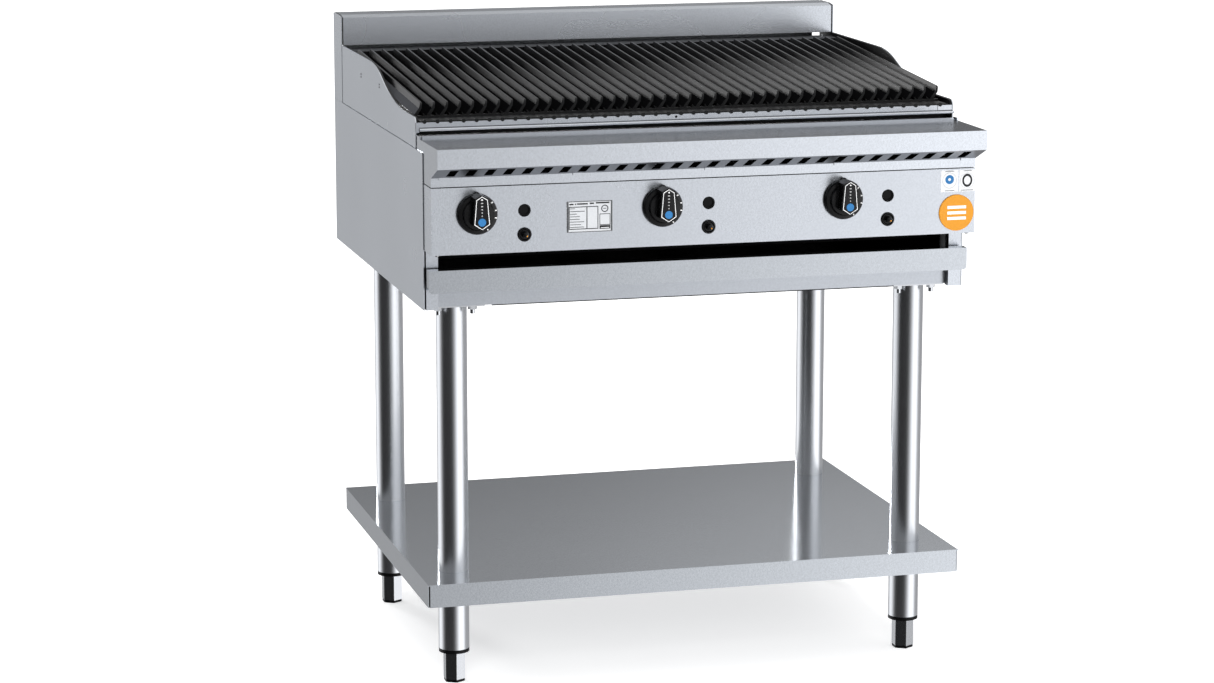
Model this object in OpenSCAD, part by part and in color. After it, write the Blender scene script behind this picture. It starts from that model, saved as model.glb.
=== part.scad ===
// Gas charbroiler grill on an open leg stand with an undershelf.
// +X runs to the cook's right, -Y faces the cook, +Z is up, and z = 0 is the floor.
// Inside the modules y = 0 is the front edge of the side panels. place() then moves
// everything so that the overall box is centred on the origin in X and Y.

/* [Body] */
// Width over the side panels
body_w = 900; // [890:1:940]
// Depth of the side panels
body_d = 741; // [735:1:780]
// Height of the lower edge of the body above the floor
body_bottom = 631; // [621:1:631]
// Height of the hemmed top edge of the side panels
side_top = 881; // [878:1:884]
// Thickness of the outer panels
sheet_t = 1.5; // [1.2:0.1:1.5]

/* [Front] */
// How far the ledge stands ahead of the side panels
ledge_out = 105; // [100:1:120]
// Height of the ledge's top face
ledge_top = 899.3; // [899:0.1:900]
// Height of the ledge's front face
ledge_face = 31; // [26:1:33]
// How far the control panel stands ahead of the side panels
panel_out = 55.5; // [54:0.5:58]
// Height of the control panel's top edge
panel_top = 832.5; // [830:0.5:834]
// Height of the control panel's bottom edge
panel_bottom = 727; // [722:1:730]
// Distance between the vent slots under the ledge
slot_pitch = 30; // [26:1:32]

/* [Guards and splashback] */
// Height of the guards beside the front of the grates
guard_low = 930.5; // [928:0.5:932]
// Height of the guards beside the rear of the grates
guard_high = 981; // [979:0.5:981]
// Front face of the splashback
splash_y = 669.4; // [668:0.1:672]
// Lower edge of the splashback's front face
splash_bottom = 981.3; // [981:0.1:984]
// Top of the splashback
splash_top = 1032.5; // [1028:0.5:1040]

/* [Grates] */
// Number of grate castings
grate_count = 6; // [6:1:6]
// Bars in one casting
bars_per_grate = 7; // [7:1:7]
// Distance between bars
bar_pitch = 21.15; // [21.15:0.01:21.2]
// Slope of the grates, rising to the rear, in degrees
grate_slope = 3.48; // [3.4:0.01:3.5]

/* [Controls] */
// Distance between the three burners, and between their controls
control_pitch = 300; // [290:1:300]
// Height of the knob axes
knob_z = 790.5; // [789:0.5:792]
// Radius of the knob skirt
knob_r = 32; // [30:0.5:33]
// Height of the igniter buttons
igniter_z = 755; // [752:1:756]
// How far a knob is pushed in before it turns
knob_push = 3; // [2:0.5:3]

/* [Stand] */
// Radius of the leg tubes
leg_r = 25; // [24:0.5:25]
// Distance of the leg axes from the middle
leg_x = 387.8; // [384:0.1:390]
// Front leg axis behind the side panels' front edge
leg_front_y = 83; // [80:1:86]
// Rear leg axis behind the side panels' front edge
leg_rear_y = 592; // [580:1:610]
// Height of the undershelf's top
shelf_top = 187; // [150:1:260]
// Height of the undershelf's folded edge
shelf_edge = 37.5; // [30:0.5:45]
// Height of the feet below the leg sleeves
foot_h = 50; // [50:1:60]

/* [Hidden] */
$fn = 48;

hw = body_w / 2;
inlet_out = 16;
centre_y = (body_d + inlet_out - ledge_out) / 2;
gap = 0.3;

// Levels of the tray zone
frame_h = 30;
frame_top = body_bottom + frame_h;
pan_bottom = frame_top + 5;
pan_top = pan_bottom + 27;
pan_hw = hw - 29;
pan_back = body_d - 100;
tray_bar_y = [-28, -9];
tray_bar_z = [frame_top + 1, frame_top + 37];
tray_bar_hw = hw - 2.5;
front_hw = hw - 1.3;
post_in = hw - 23.5;
member_y = 13;
member_low = body_bottom + 2.4;

// Side walls of the cooking zone, as distances from the middle
guard_x = hw - 0.5;
liner_x = hw - 4.4;
liner_t = 1;
guard_front_y = 52;

// Firebox
firebox_y = [92, 617];
firebox_bottom = 697;

// Front rail that carries the grates
rail_y = 50;
rail_top = ledge_top + 23;
rail_bottom = ledge_top + 10.2;

// Grate castings: a bar's ridge starts at (ridge_x, grate_y, ridge_z)
ridge_x = -(hw - 16);
grate_y = 88;
ridge_z = rail_top + 27;
grate_back_y = 603;
bar_length = (grate_back_y - grate_y) / cos(grate_slope);
bar_h = 25.5;
bar_lip_x = -17.4;
bar_right_x = 3;
plate_y = 47.7;
nose_r = 3.2;
nose_pitch = bar_pitch - 0.15;
nose_x = ridge_x - 1.6;
rear_ledge_z = ridge_z - bar_h + (590 - grate_y) * tan(grate_slope) - gap;

// Burners and controls, left to right
burner_x = [-control_pitch, 0, control_pitch];
knob_offset = -76.1;
knob_back = -panel_out - 0.5 - gap - knob_push;
label_y = -panel_out - 37;
sight_z = panel_top - 38.7;
burner_z = knob_z;
burner_r = 19;
burner_spread = -knob_offset;
stem_r = 4;
manifold_y = 30;
manifold_z = knob_z - 38;
valve_seat_z = manifold_z + 16;
pipe_r = 10.65;
drop_x = hw - 17;
inlet_z = body_bottom + 17;

// Legs
leg_top = body_bottom - 4;
leg_bottom = foot_h + 6.3;
leg_xy = [[-leg_x, leg_front_y], [leg_x, leg_front_y], [-leg_x, leg_rear_y], [leg_x, leg_rear_y]];
bolt_dx = 28;
bolt_dy = 30;
shelf_y = [-10, 692.5];
shelf_hw = hw - 0.6;
foot_flats = 32;

// ---- Helpers ----

module place() {
    translate([0, -centre_y, 0]) children();
}

module on_both_sides() {
    children();
    mirror([1, 0, 0]) children();
}

module box(x, y, z) {
    translate([x[0], y[0], z[0]]) cube([x[1] - x[0], y[1] - y[0], z[1] - z[0]]);
}

// Extrudes an outline drawn in (y, z) from x[0] to x[1]
module along_x(x) {
    translate([x[0], 0, 0]) rotate([90, 0, 90]) linear_extrude(x[1] - x[0]) children();
}

// Extrudes an outline drawn in (x, z) from y[0] to y[1]
module along_y(y) {
    translate([0, y[1], 0]) rotate([90, 0, 0]) linear_extrude(y[1] - y[0]) children();
}

module rod_x(x, y, z, r) {
    translate([x[0], y, z]) rotate([0, 90, 0]) cylinder(h = x[1] - x[0], r = r);
}

module rod_y(x, y, z, r) {
    translate([x, y[0], z]) rotate([-90, 0, 0]) cylinder(h = y[1] - y[0], r = r);
}

module rod_z(x, y, z, r) {
    translate([x, y, z[0]]) cylinder(h = z[1] - z[0], r = r);
}

// Unit normal on the left of the direction a to b
function left_of(a, b) = [a[1] - b[1], b[0] - a[0]] / norm(b - a);

// Point i of path p moved t to the left, with mitred corners
function beside(p, i, t) =
    let (last = len(p) - 1,
         n1 = left_of(p[max(i - 1, 0)], p[max(i, 1)]),
         n2 = left_of(p[min(i, last - 1)], p[min(i + 1, last)]))
    p[i] + t * (n1 + n2) / (1 + n1 * n2);

// Outline of a sheet of thickness t folded along the path p, on the path's left
function folded(p, t) = concat(p, [for (i = [len(p) - 1 : -1 : 0]) beside(p, i, t)]);

// A folded sheet: p lists (y, z) points of its outer face
module folded_x(p, t, x) {
    along_x(x) polygon(folded(p, t));
}

// Points on an arc about c, from angle a0 to a1
function arc(c, r, a0, a1, steps) =
    [for (i = [0 : steps]) let (a = a0 + (a1 - a0) * i / steps) c + r * [cos(a), sin(a)]];

// ---- Outer shell ----

module side_panel() {
    top_hem = 2.5;
    box([-hw, -hw + sheet_t], [0, body_d], [body_bottom, side_top]);
    box([-hw, -hw + top_hem], [0, body_d], [side_top - 10, side_top]);
    box([-hw, -hw + 16], [14, body_d], [body_bottom, body_bottom + sheet_t]);
    difference() {
        box([-hw, -hw + 14], [body_d - sheet_t, body_d], [body_bottom, side_top]);
        rod_y(-drop_x, [body_d - 4, body_d + 1], inlet_z, pipe_r + 3);
    }
}

module side_panel_left() {
    color("silver") place() side_panel();
}

module side_panel_right() {
    color("silver") place() mirror([1, 0, 0]) side_panel();
}

module rear_panel() {
    flange = 14;
    color("silver") place() difference() {
        union() {
            box([-hw + 16, hw - 16], [body_d - sheet_t, body_d], [body_bottom + 3, splash_top - 24]);
            box([-hw + 16, hw - 16], [body_d - flange, body_d], [side_top - 8, side_top - 6]);
        }
        rod_y(drop_x, [body_d - 30, body_d + 1], inlet_z, pipe_r + 3);
    }
}

// Rails at both sides that the pan slides on, tied together at the front and rear
module base_frame() {
    t = 2;
    runner = [[hw - 3, body_bottom + sheet_t + gap], [hw - 3, frame_top + 4],
        [pan_hw - 16, frame_top + 4]];
    foot = [hw - 110, hw - 3];
    doubler = [hw - 110, hw - 16.5];
    foot_z = [body_bottom + sheet_t + gap, body_bottom + sheet_t + gap + t];
    color("gray") place() difference() {
        union() {
            on_both_sides() {
                along_y([58, body_d - 36]) polygon(folded(runner, t));
                for (y = [[30, 150], [leg_rear_y - 67, body_d - 36]]) {
                    box(foot, y, foot_z);
                    box(doubler, y, [body_bottom + gap, foot_z[1]]);
                }
            }
            folded_x([[body_d - 60, body_bottom + 2], [body_d - 36, body_bottom + 2],
                [body_d - 36, frame_top], [body_d - 48, frame_top]], t, [-hw + 3, hw - 3]);
        }
        rod_y(drop_x, [body_d - 70, body_d], inlet_z, pipe_r + 3);
        for (leg = leg_xy)
            for (dx = [-bolt_dx, bolt_dx])
                for (dy = [-bolt_dy, bolt_dy])
                    rod_z(leg[0] + dx, leg[1] + dy, [body_bottom - 1, body_bottom + 8], 4.3);
    }
}

// Channel between the posts, with a narrow edge strip below it between the legs
module front_crossmember() {
    y = member_y;
    top = frame_top + 2;
    color("silver") place() {
        folded_x([[y + 13, member_low], [y, member_low], [y, top], [y + 13, top]],
            -sheet_t, [-hw + 35, hw - 35]);
        box([-post_in + gap, post_in - gap], [y, y + sheet_t], [member_low, top]);
        box([-337, 337], [y + 0.5, y + 2], [member_low - 1.7, member_low + 0.5]);
    }
}

// The left post stands further from its side panel than the right one and has an outer return
module front_posts() {
    outer = [hw - 4.2, hw - sheet_t - gap];
    top = panel_top - 20;
    color("silver") place()
        for (side = [0, 1]) mirror([1 - side, 0, 0]) {
            box([post_in, outer[side]], [0.5, 2], [body_bottom, top]);
            box([post_in, post_in + sheet_t], [0.5, 16], [body_bottom, top]);
        }
    color("silver") place() box([-outer[0], -outer[0] + sheet_t], [0.5, 13], [body_bottom, top]);
}

// ---- Front ----

module panel_holes() {
    for (x = burner_x) {
        rod_y(x + knob_offset, [-panel_out - 1, -panel_out + 3], knob_z, 7);
        rod_y(x, [-panel_out - 1, -panel_out + 3], sight_z - 0.8, 10.2);
        rod_y(x, [-panel_out - 1, -panel_out + 3], igniter_z, 8);
    }
}

module control_panel() {
    y = -panel_out;
    path = [[y + 16, panel_bottom], [y, panel_bottom], [y, panel_top], [y + 10, panel_top]];
    color("silver") place() difference() {
        union() {
            folded_x(path, -sheet_t, [-front_hw, front_hw]);
            on_both_sides()
                box([front_hw - sheet_t, front_hw], [y, -gap], [panel_bottom, panel_top]);
        }
        panel_holes();
    }
}

// Bullnose ledge with closed ends, a slotted slanted underside and a raised rear hem
module front_ledge() {
    face_low = ledge_top - ledge_face;
    apron_top = panel_top + 16;
    hem = 4;
    hem_y = 32.5;
    y = -panel_out;
    path = [[y + 12, panel_top + 1.6], [y, panel_top + 1.6], [y, apron_top],
        [-ledge_out, face_low], [-ledge_out, ledge_top], [hem_y, ledge_top],
        [hem_y, ledge_top + hem]];
    cheek = [[0, panel_top + 1.6], [y, panel_top + 1.6], [y, apron_top], [-ledge_out, face_low],
        [-ledge_out, ledge_top], [28, ledge_top], [28, ledge_top + hem], [46, ledge_top + hem],
        [46, side_top + gap], [0, side_top + gap]];
    slope_angle = atan2(apron_top - face_low, ledge_out - panel_out);
    slant = norm([apron_top - face_low, ledge_out - panel_out]);
    slot_w = 13.5;
    slot_l = 0.7 * slant;
    side_slots = floor((hw - 30) / slot_pitch);
    color("silver") place() {
        difference() {
            union() {
                folded_x(path, -sheet_t, [-front_hw, front_hw]);
                on_both_sides() along_x([front_hw - sheet_t, front_hw]) polygon(cheek);
            }
            on_both_sides()
                box([hw - 7, front_hw - sheet_t], [hem_y - 0.5, hem_y + 4],
                    [ledge_top, ledge_top + hem + 1]);
            for (i = [-side_slots : side_slots])
                translate([i * slot_pitch - slot_w / 2, -ledge_out, face_low])
                    rotate([slope_angle, 0, 0])
                        translate([0, (slant - slot_l) / 2, -4]) cube([slot_w, slot_l, 8]);
        }
        for (x = [-430 : 215 : 430])
            box([x - 7, x + 7], [y - 1.6, y + 0.1], [apron_top - 3, apron_top + 1.6]);
    }
}

// Stainless rail under the front ends of the grates: a face strip, a groove and a bead,
// with a gutter behind that closes the gap down to the ledge
module front_rail() {
    bead_z = [ledge_top + 9.3, ledge_top + 13.4];
    strip_z = [ledge_top + 15, rail_top];
    back_y = rail_y + 1.3;
    x = [-hw + 4.6, hw - 4.6];
    seam_x = hw - 29;
    path = [[74, rail_bottom], [back_y, rail_bottom], [back_y, rail_top], [89.5, rail_top]];
    gutter = [[36, ledge_top + 2.4], [36, ledge_top - 1], [74, ledge_top - 1],
        [74, rail_bottom]];
    color("silver") place() difference() {
        union() {
            folded_x(path, -sheet_t, x);
            box([-hw + 1, hw - 3.6], [rail_y, back_y + 0.1], strip_z);
            box([-hw + 1, -hw + 6], [rail_y, back_y + 0.1], [ledge_top + 7, strip_z[1]]);
            along_x([-hw + 6.4, hw - 0.3]) polygon([[rail_y - 2, bead_z[0]],
                [back_y + 0.1, bead_z[0]], [back_y + 0.1, bead_z[1]], [rail_y - 2, bead_z[1]],
                [rail_y - 3.2, bead_z[1] - 1.4], [rail_y - 3.2, bead_z[0] + 1.4]]);
            folded_x(gutter, sheet_t, x);
        }
        box([seam_x, seam_x + 0.8], [rail_y - 1, back_y + 0.6], [strip_z[0] - 1, rail_top + 1]);
        rod_y(-23.5, [rail_y - 1, rail_y + 3], ledge_top + 19, 2);
    }
}

module rear_rail() {
    t = 2;
    path = [[590, rear_ledge_z], [612, rear_ledge_z], [612, guard_high - 5],
        [splash_y - 2, guard_high - 5], [splash_y - 2, guard_high - 40]];
    color("#202022") place() folded_x(path, -t, [-liner_x + 2, liner_x - 2]);
}

// Outline of a guard or liner: an S-curve from the low front to the high rear. The lower
// arc has twice the radius of the upper one.
function guard_outline(y0, y1, bottom, drop) =
    let (steep = 20.7, r = (guard_high - guard_low) / (1 - cos(steep)) / 3, c = 11,
         s0 = 140, s1 = s0 + 3 * r * sin(steep), low = guard_low - drop, high = guard_high - drop)
    concat([[y0, bottom]],
        arc([y0 + c, low - c], c, 180, 90, 5),
        arc([s0, low + 2 * r], 2 * r, -90, -90 + steep, 7),
        arc([s1, high - r], r, 90 + steep * 5 / 6, 90, 5),
        [[y1, high], [y1, bottom]]);

// Left guard: it stands on the hem of the side panel and is held by a tab inside it
module guard() {
    y = [guard_front_y, splash_y - 1.6];
    inner = -hw + 2.8;
    along_x([-guard_x, -guard_x + sheet_t]) polygon(guard_outline(y[0], y[1], side_top + 1, 0));
    box([-guard_x + 0.5, inner + 1.3], [y[0] + 8, y[1] - 8], [side_top + 3.5, side_top + 5]);
    box([inner, inner + 1.3], [y[0] + 8, y[1] - 8], [side_top - 20, side_top + 5]);
}

module guard_left() {
    color("silver") place() guard();
}

module guard_right() {
    color("silver") place() mirror([1, 0, 0]) guard();
}

// Left liner, with its rim turned out towards the guard
module liner() {
    y = [guard_front_y + 0.5, splash_y - 1.4];
    rim = 1.3;
    difference() {
        union() {
            along_x([-liner_x, -liner_x + liner_t])
                polygon(guard_outline(y[0], y[1], firebox_bottom, 0.4));
            along_x([-guard_x + sheet_t + gap, -liner_x + 0.1]) difference() {
                polygon(guard_outline(y[0], y[1], side_top + 8, 0.4));
                polygon(guard_outline(y[0] + rim, y[1] + 1, side_top, 0.4 + rim));
            }
        }
        box([-hw, -liner_x + 2], [0, firebox_y[0] - 2], [firebox_bottom - 1, rail_top + 0.5]);
    }
}

module liner_left() {
    color("#161618") place() liner();
}

module liner_right() {
    color("#161618") place() mirror([1, 0, 0]) liner();
}

// Folded sheet with side returns behind the gaps to the cheeks
module splashback() {
    bevel = [19.5, 3.5];
    path = [[splash_y + 14, splash_bottom], [splash_y, splash_bottom],
        [splash_y, splash_top - bevel[1]], [splash_y + bevel[0], splash_top],
        [body_d + 0.2 + sheet_t, splash_top], [body_d + 0.2 + sheet_t, splash_top - 24]];
    end = hw - 3.6;
    color("silver") place() {
        folded_x(path, -sheet_t, [-end, end]);
        on_both_sides() box([end - sheet_t, end], [splash_y + 1, splash_y + 60],
            [splash_bottom, splash_top - bevel[1] - 0.5]);
    }
}

module splashback_cheeks() {
    cheek = [[splash_y - 1.2, side_top + gap], [splash_y - 1.2, splash_top - 2.4],
        [splash_y + 18, splash_top], [body_d, splash_top], [body_d, side_top + gap]];
    color("silver") place() on_both_sides() along_x([hw - sheet_t, hw]) polygon(cheek);
}

// ---- Firebox, burners and gas ----

module firebox_front() {
    y = firebox_y[0];
    shelf_z = burner_z - burner_r - 3;
    color("#1c1c1e") place() difference() {
        union() {
            folded_x([[y + 14, firebox_bottom], [y, firebox_bottom], [y, rail_top - 2]],
                -sheet_t, [-liner_x + 2, liner_x - 2]);
            box([-liner_x + 6, liner_x - 6], [y, y + 40], [shelf_z, shelf_z + 2.5]);
            box([-liner_x + 6, liner_x - 6], [y, y + 22], [burner_z + 42, burner_z + 44]);
        }
        for (x = burner_x) {
            rod_y(x + knob_offset, [y - 5, y + 5], burner_z, 17.5);
            rod_y(x - 12, [y - 5, y + 5], burner_z + 4, 3.5);
        }
    }
}

module firebox_rear() {
    y = firebox_y[1];
    shelf_z = burner_z - burner_r - 3;
    color("#1c1c1e") place() {
        folded_x([[y - 14, firebox_bottom], [y, firebox_bottom], [y, rear_ledge_z + 12]],
            sheet_t, [-liner_x + 2, liner_x - 2]);
        box([-liner_x + 6, liner_x - 6], [y - 40, y], [shelf_z, shelf_z + 2.5]);
        box([-liner_x + 6, liner_x - 6], [y - 22, y], [burner_z + 42, burner_z + 44]);
    }
}

// Twin-tube burner: a venturi runs straight into the left tube, two bridges feed the right
module burner_body(x, wall) {
    y = [firebox_y[0] + 18, firebox_y[1] - 20];
    left = x - burner_spread;
    right = x + burner_spread;
    rod_y(left, [firebox_y[0] - 32 - (wall > 0 ? 1 : 0), y[0] + 5], burner_z, 16 - wall);
    for (tube = [left, right])
        rod_y(tube, [y[0] + wall, y[1] - wall], burner_z, burner_r - wall);
    for (bridge = [y[0] + 40, y[1] - 40])
        rod_x([left, right], bridge, burner_z, 13 - wall);
}

module burner(x) {
    ports = 14;
    first = firebox_y[0] + 60;
    step = 31;
    color("dimgray") place() difference() {
        burner_body(x, 0);
        burner_body(x, 2);
        for (tube = [x - burner_spread, x + burner_spread])
            for (i = [0 : ports - 1])
                box([tube - 9, tube + 9], [first + i * step, first + i * step + 2],
                    [burner_z + burner_r - 5, burner_z + burner_r + 2]);
    }
}

module burner_left() {
    burner(burner_x[0]);
}

module burner_centre() {
    burner(burner_x[1]);
}

module burner_right() {
    burner(burner_x[2]);
}

// One inverted-V heat plate stands over each burner tube
module radiants() {
    rest_z = burner_z + 44 + gap;
    peak = 30;
    half = 56;
    t = 3;
    color("#2b2926") place()
        for (x = burner_x)
            for (dx = [-burner_spread, burner_spread])
                translate([x + dx, 0, rest_z]) along_y([firebox_y[0] + 4, firebox_y[1] - 4])
                    polygon([[-half, 0], [-half + 4, 0], [0, peak - t], [half - 4, 0], [half, 0],
                        [3, peak], [-3, peak]]);
}

module gas_manifold() {
    left = burner_x[0] + knob_offset - 25;
    bore = pipe_r - 2.6;
    color("goldenrod") place() difference() {
        union() {
            rod_x([left, drop_x], manifold_y, manifold_z, pipe_r);
            translate([drop_x, manifold_y, manifold_z]) sphere(r = pipe_r + 2);
            rod_z(drop_x, manifold_y, [inlet_z, manifold_z], pipe_r);
            translate([drop_x, manifold_y, inlet_z]) sphere(r = pipe_r + 1.5);
            rod_y(drop_x, [manifold_y, manifold_y + 24], inlet_z, pipe_r + 1.5);
            rod_x([left - 4, left + 12], manifold_y, manifold_z, pipe_r + 1.6);
            for (x = burner_x)
                rod_z(x + knob_offset, manifold_y, [manifold_z, valve_seat_z], 9);
        }
        rod_x([left + 3, drop_x], manifold_y, manifold_z, bore);
        rod_z(drop_x, manifold_y, [inlet_z, manifold_z], bore);
        rod_y(drop_x, [manifold_y, manifold_y + 12], inlet_z, bore);
        rod_y(drop_x, [manifold_y + 12, manifold_y + 30], inlet_z, pipe_r + 0.05);
        for (x = burner_x)
            rod_z(x + knob_offset, manifold_y, [manifold_z, valve_seat_z + 1], 4);
    }
}

// Supply pipe under the pan runner, with its threaded end behind the rear panel
module gas_inlet() {
    y = [manifold_y + 12.5, body_d + inlet_out];
    thread_l = 14.5;
    thread_r = 10.48;
    color("goldenrod") place() difference() {
        union() {
            rod_y(drop_x, [y[0], y[1] - thread_l], inlet_z, pipe_r);
            rod_y(drop_x, [y[1] - thread_l - 1, y[1]], inlet_z, thread_r);
        }
        rod_y(drop_x, [y[0] - 1, y[1] + 1], inlet_z, 8);
    }
}

module gas_valves() {
    front = -12;
    seat = valve_seat_z + 0.1;
    color("darkgoldenrod") place()
        for (x = burner_x) translate([x + knob_offset, 0, 0]) difference() {
            union() {
                rod_y(0, [front, 12], knob_z, 13);
                rod_y(0, [12, 42], knob_z, 10);
                rod_y(0, [42, 54], knob_z, 5);
                rod_y(0, [front - 12, front], knob_z, 9);
                rod_z(0, manifold_y, [seat, knob_z], 7.5);
            }
            rod_y(0, [front - 13, front + 16], knob_z, stem_r + 0.05);
            rod_y(0, [20, 56], knob_z, 1.2);
            rod_z(0, manifold_y, [seat - 1, knob_z], 4);
        }
}

module valve_stem(i) {
    color("silver") place()
        rod_y(burner_x[i] + knob_offset, [label_y + 5, -12 + 16 - knob_push - 1], knob_z, stem_r);
}

module valve_stem_left() {
    valve_stem(0);
}

module valve_stem_centre() {
    valve_stem(1);
}

module valve_stem_right() {
    valve_stem(2);
}

module pilots() {
    back = firebox_y[0] + 2;
    color("gray") place()
        for (x = burner_x) {
            rod_y(x - 12, [manifold_y + 26, back + 26], burner_z + 4, 2.5);
            box([x - 20, x + 20], [back, back + 3], [burner_z - 6, burner_z + 14]);
            box([x - 17, x - 7], [back + 24, back + 36], [burner_z - 2, burner_z + 12]);
            rod_y(x + 3, [back, back + 38], burner_z + 8, 3);
            rod_y(x + 14, [back, back + 30], burner_z + 8, 1.6);
        }
}

// ---- Controls and trim ----

// Knob outline seen from the front, as (x, z) about the knob axis
function grip_outline(s) = [[0, 32.4 + s], [-8.8 - s, 27 + s], [-12.3 - s, -12 - s / 2],
    [0, -19.8 - s], [12.3 + s, -12 - s / 2], [8.8 + s, 27 + s]];

module knob(i) {
    skirt = 6;
    side_r = 24.5;
    color("#101012") place() translate([burner_x[i] + knob_offset, 0, knob_z]) difference() {
        union() {
            translate([0, knob_back, 0]) rotate([90, 0, 0]) rotate_extrude() polygon([[0, 0],
                [knob_r, 0], [knob_r, 2.5], [knob_r - 1.5, skirt], [side_r + 1, skirt + 0.6],
                [side_r - 1, skirt + 6], [0, skirt + 7.5]]);
            along_y([label_y, knob_back - 4]) polygon(grip_outline(2));
            along_y([knob_back - skirt - 2, knob_back])
                polygon([[-11, 25], [11, 25], [0, knob_r + 3.6]]);
        }
        rod_y(0, [label_y + 5 - 0.5, knob_back + 1], 0, stem_r + 0.05);
    }
}

module knob_left() {
    knob(0);
}

module knob_centre() {
    knob(1);
}

module knob_right() {
    knob(2);
}

module igniter_bodies() {
    y = -panel_out;
    bezel_r = 11.3;
    bore_r = 5.25;
    color("#141416") place()
        for (x = burner_x) translate([x, 0, igniter_z]) difference() {
            union() {
                translate([0, y, 0]) rotate([90, 0, 0]) rotate_extrude()
                    polygon([[0, 0], [bezel_r, 0], [bezel_r, 1.5], [bezel_r - 1.5, 3.5], [8.8, 3.5],
                        [7.2, 1.6], [0, 1.6]]);
                rod_y(0, [y, y + 42], 0, 7.8);
            }
            rod_y(0, [y - 5, y + 34], 0, bore_r);
        }
}

module igniter_button(i) {
    y = -panel_out;
    color("#141416") place() translate([burner_x[i], 0, igniter_z])
        rotate([90, 0, 0]) translate([0, 0, -y - 22]) rotate_extrude()
            polygon([[0, 0], [4.9, 0], [4.9, 31], [4.1, 32.4], [0, 33]]);
}

module igniter_button_left() {
    igniter_button(0);
}

module igniter_button_centre() {
    igniter_button(1);
}

module igniter_button_right() {
    igniter_button(2);
}

module sight_ports() {
    y = -panel_out;
    color("#0c0c0d") place()
        for (x = burner_x) translate([x, 0, sight_z]) {
            difference() {
                rod_y(0, [y - 0.3, y + 26], 0, 9.2);
                rod_y(0, [y - 1, y + 27], 0, 7.8);
            }
            rod_y(0, [y + 2, y + 4], 0, 8);
        }
}

module data_plate() {
    y = -panel_out;
    color("gainsboro") place() box([-232, -158], [y - 0.8, y], [igniter_z - 0.4, igniter_z + 49]);
}

module badge() {
    y = -panel_out;
    color("orange") place() translate([hw - 33, y, 761]) rotate([90, 0, 0]) rotate_extrude()
        polygon([[0, 0], [29.5, 0], [29.5, 1.6], [28.6, 2.5], [0, 2.5]]);
}

module labels() {
    y = -panel_out;
    color("white") place() {
        box([hw - 60, hw - 30.5], [y - 0.3, y], [795, 830]);
        box([hw - 28.7, hw - 1.8], [y - 0.3, y], [795, 830]);
    }
}

// ---- Grease tray ----

module grease_pan() {
    t = 1.2;
    color("#1a1a1c") place() difference() {
        box([-pan_hw, pan_hw], [tray_bar_y[1] + 0.1, pan_back], [pan_bottom, pan_top]);
        box([-pan_hw + t, pan_hw - t], [tray_bar_y[1] + 0.1 + t, pan_back - t],
            [pan_bottom + t, pan_top + 1]);
    }
}

module tray_front() {
    w = tray_bar_hw;
    z = tray_bar_z;
    c = 4;
    t = sheet_t;
    color("silver") place() difference() {
        along_y(tray_bar_y) polygon([[-w, z[1]], [-w, z[0] + c], [-w + c, z[0]], [w - c, z[0]],
            [w, z[0] + c], [w, z[1]]]);
        box([-w + t, w - t], [tray_bar_y[0] + t, tray_bar_y[1] + 1], [z[0] + t + c, z[1] - t]);
        on_both_sides() box([w - c - 0.1, w + 1], [tray_bar_y[0] + t, tray_bar_y[1] + 1],
            [z[0] - 1, z[0] + 8]);
    }
}

// ---- Grates ----

// Section of a bar: an upright head on a slanted blade that ends in a grease trough
function bar_section() = [[0, 0], [-2.2, -9.2], [-11.8, -21.8], [-16.2, -16.9],
    [bar_lip_x, -17.8], [-13.6, -bar_h], [-6.8, -bar_h], [2.4, -9], [bar_right_x, 0]];

module bar_row() {
    for (i = [0 : bars_per_grate - 1])
        translate([i * bar_pitch, 0, 0]) along_y([0, bar_length]) polygon(bar_section());
}

// Cross webs tie the bars of one casting together
module grate_webs(x) {
    for (y = [120, 260, 400, bar_length - 8])
        box(x, [y, y + 6], [-bar_h, -bar_h + 6]);
}

module grate(g) {
    first = ridge_x + g * bars_per_grate * bar_pitch;
    last = first + (bars_per_grate - 1) * bar_pitch;
    side_limit = -(liner_x - liner_t - 0.6);
    x = [max(first + bar_lip_x, side_limit), last + bar_right_x];
    corner = 4;
    reach = [-bar_h - 1, 1];
    color("#28282a") place() {
        intersection() {
            translate([first, grate_y, ridge_z]) rotate([grate_slope, 0, 0]) {
                intersection() {
                    bar_row();
                    along_x([-30, bars_per_grate * bar_pitch]) polygon(concat(
                        [[0, reach[0]]], arc([corner, -corner], corner, 180, 90, 4),
                        arc([bar_length - corner, -corner], corner, 90, 0, 4),
                        [[bar_length, reach[0]]]));
                }
                grate_webs([bar_lip_x, (bars_per_grate - 1) * bar_pitch + bar_right_x - 1]);
            }
            box([x[0], x[1]], [0, body_d], [0, splash_top]);
        }
        box(x, [plate_y, grate_y + 8], [rail_top + gap, rail_top + 2.8]);
        box(x, [grate_y, grate_y + 5], [rail_top + gap, rail_top + 6]);
        for (i = [0 : bars_per_grate - 1])
            rod_y(nose_x + (g * bars_per_grate + i) * nose_pitch, [plate_y, rail_y - gap],
                rail_top + 1.2, nose_r);
    }
}

module grate_1() {
    grate(0);
}

module grate_2() {
    grate(1);
}

module grate_3() {
    grate(2);
}

module grate_4() {
    grate(3);
}

module grate_5() {
    grate(4);
}

module grate_6() {
    grate(5);
}

// ---- Stand ----

module leg(i) {
    p = leg_xy[i];
    half = 45;
    color("gainsboro") place() difference() {
        union() {
            rod_z(p[0], p[1], [leg_bottom, leg_top], leg_r);
            box([p[0] - half, p[0] + half], [p[1] - half, p[1] + half],
                [leg_top, body_bottom]);
        }
        rod_z(p[0], p[1], [leg_bottom - 1, leg_top], leg_r - 1.5);
        for (dx = [-bolt_dx, bolt_dx])
            for (dy = [-bolt_dy, bolt_dy])
                rod_z(p[0] + dx, p[1] + dy, [leg_top - 1, body_bottom + 1], 4.3);
    }
}

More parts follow.
